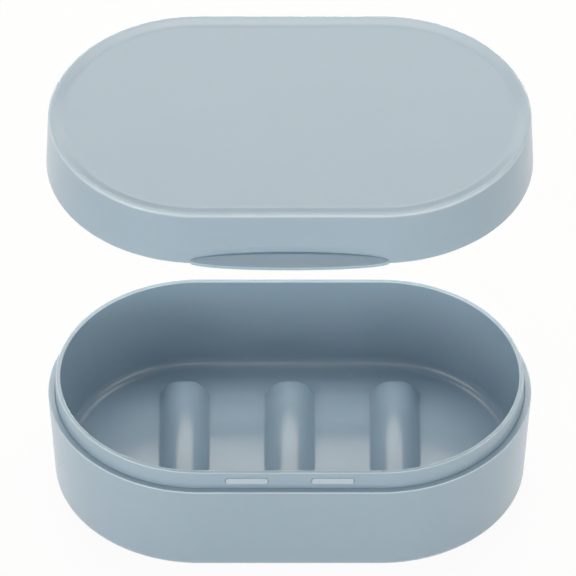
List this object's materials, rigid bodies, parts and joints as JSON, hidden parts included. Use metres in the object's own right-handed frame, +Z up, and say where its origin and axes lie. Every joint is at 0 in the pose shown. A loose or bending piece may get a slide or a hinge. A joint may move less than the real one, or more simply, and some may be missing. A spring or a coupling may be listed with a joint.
{
  "type": "travel soap box",
  "caption": "Oblong travel soap box: deep tray with half-round drainage ribs and a stepped rim, under a lift-off lid with a dished top and a crescent finger lip.",
  "frame": {"origin": "middle of the tray's foot ring, on the surface the box stands on", "axes": "+Z up, the way the lid lifts; +X along the box; -Y is the front, where the lid has its finger lip"},
  "size_m": [0.11, 0.0714, 0.1085],
  "materials": {
    "tray_plastic": "satin grey-blue moulded plastic",
    "lid_plastic": "satin grey-blue moulded plastic"
  },
  "bodies": {
    "tray": {"base_tray": "tray_plastic"},
    "lid": {"lid": "lid_plastic"}
  },
  "joints": [
    {"name": "lid_lift", "type": "slide", "parent": "tray", "child": "lid", "axis": [0, 0, 1], "range_m": [-0.07, 0]}
  ]
}
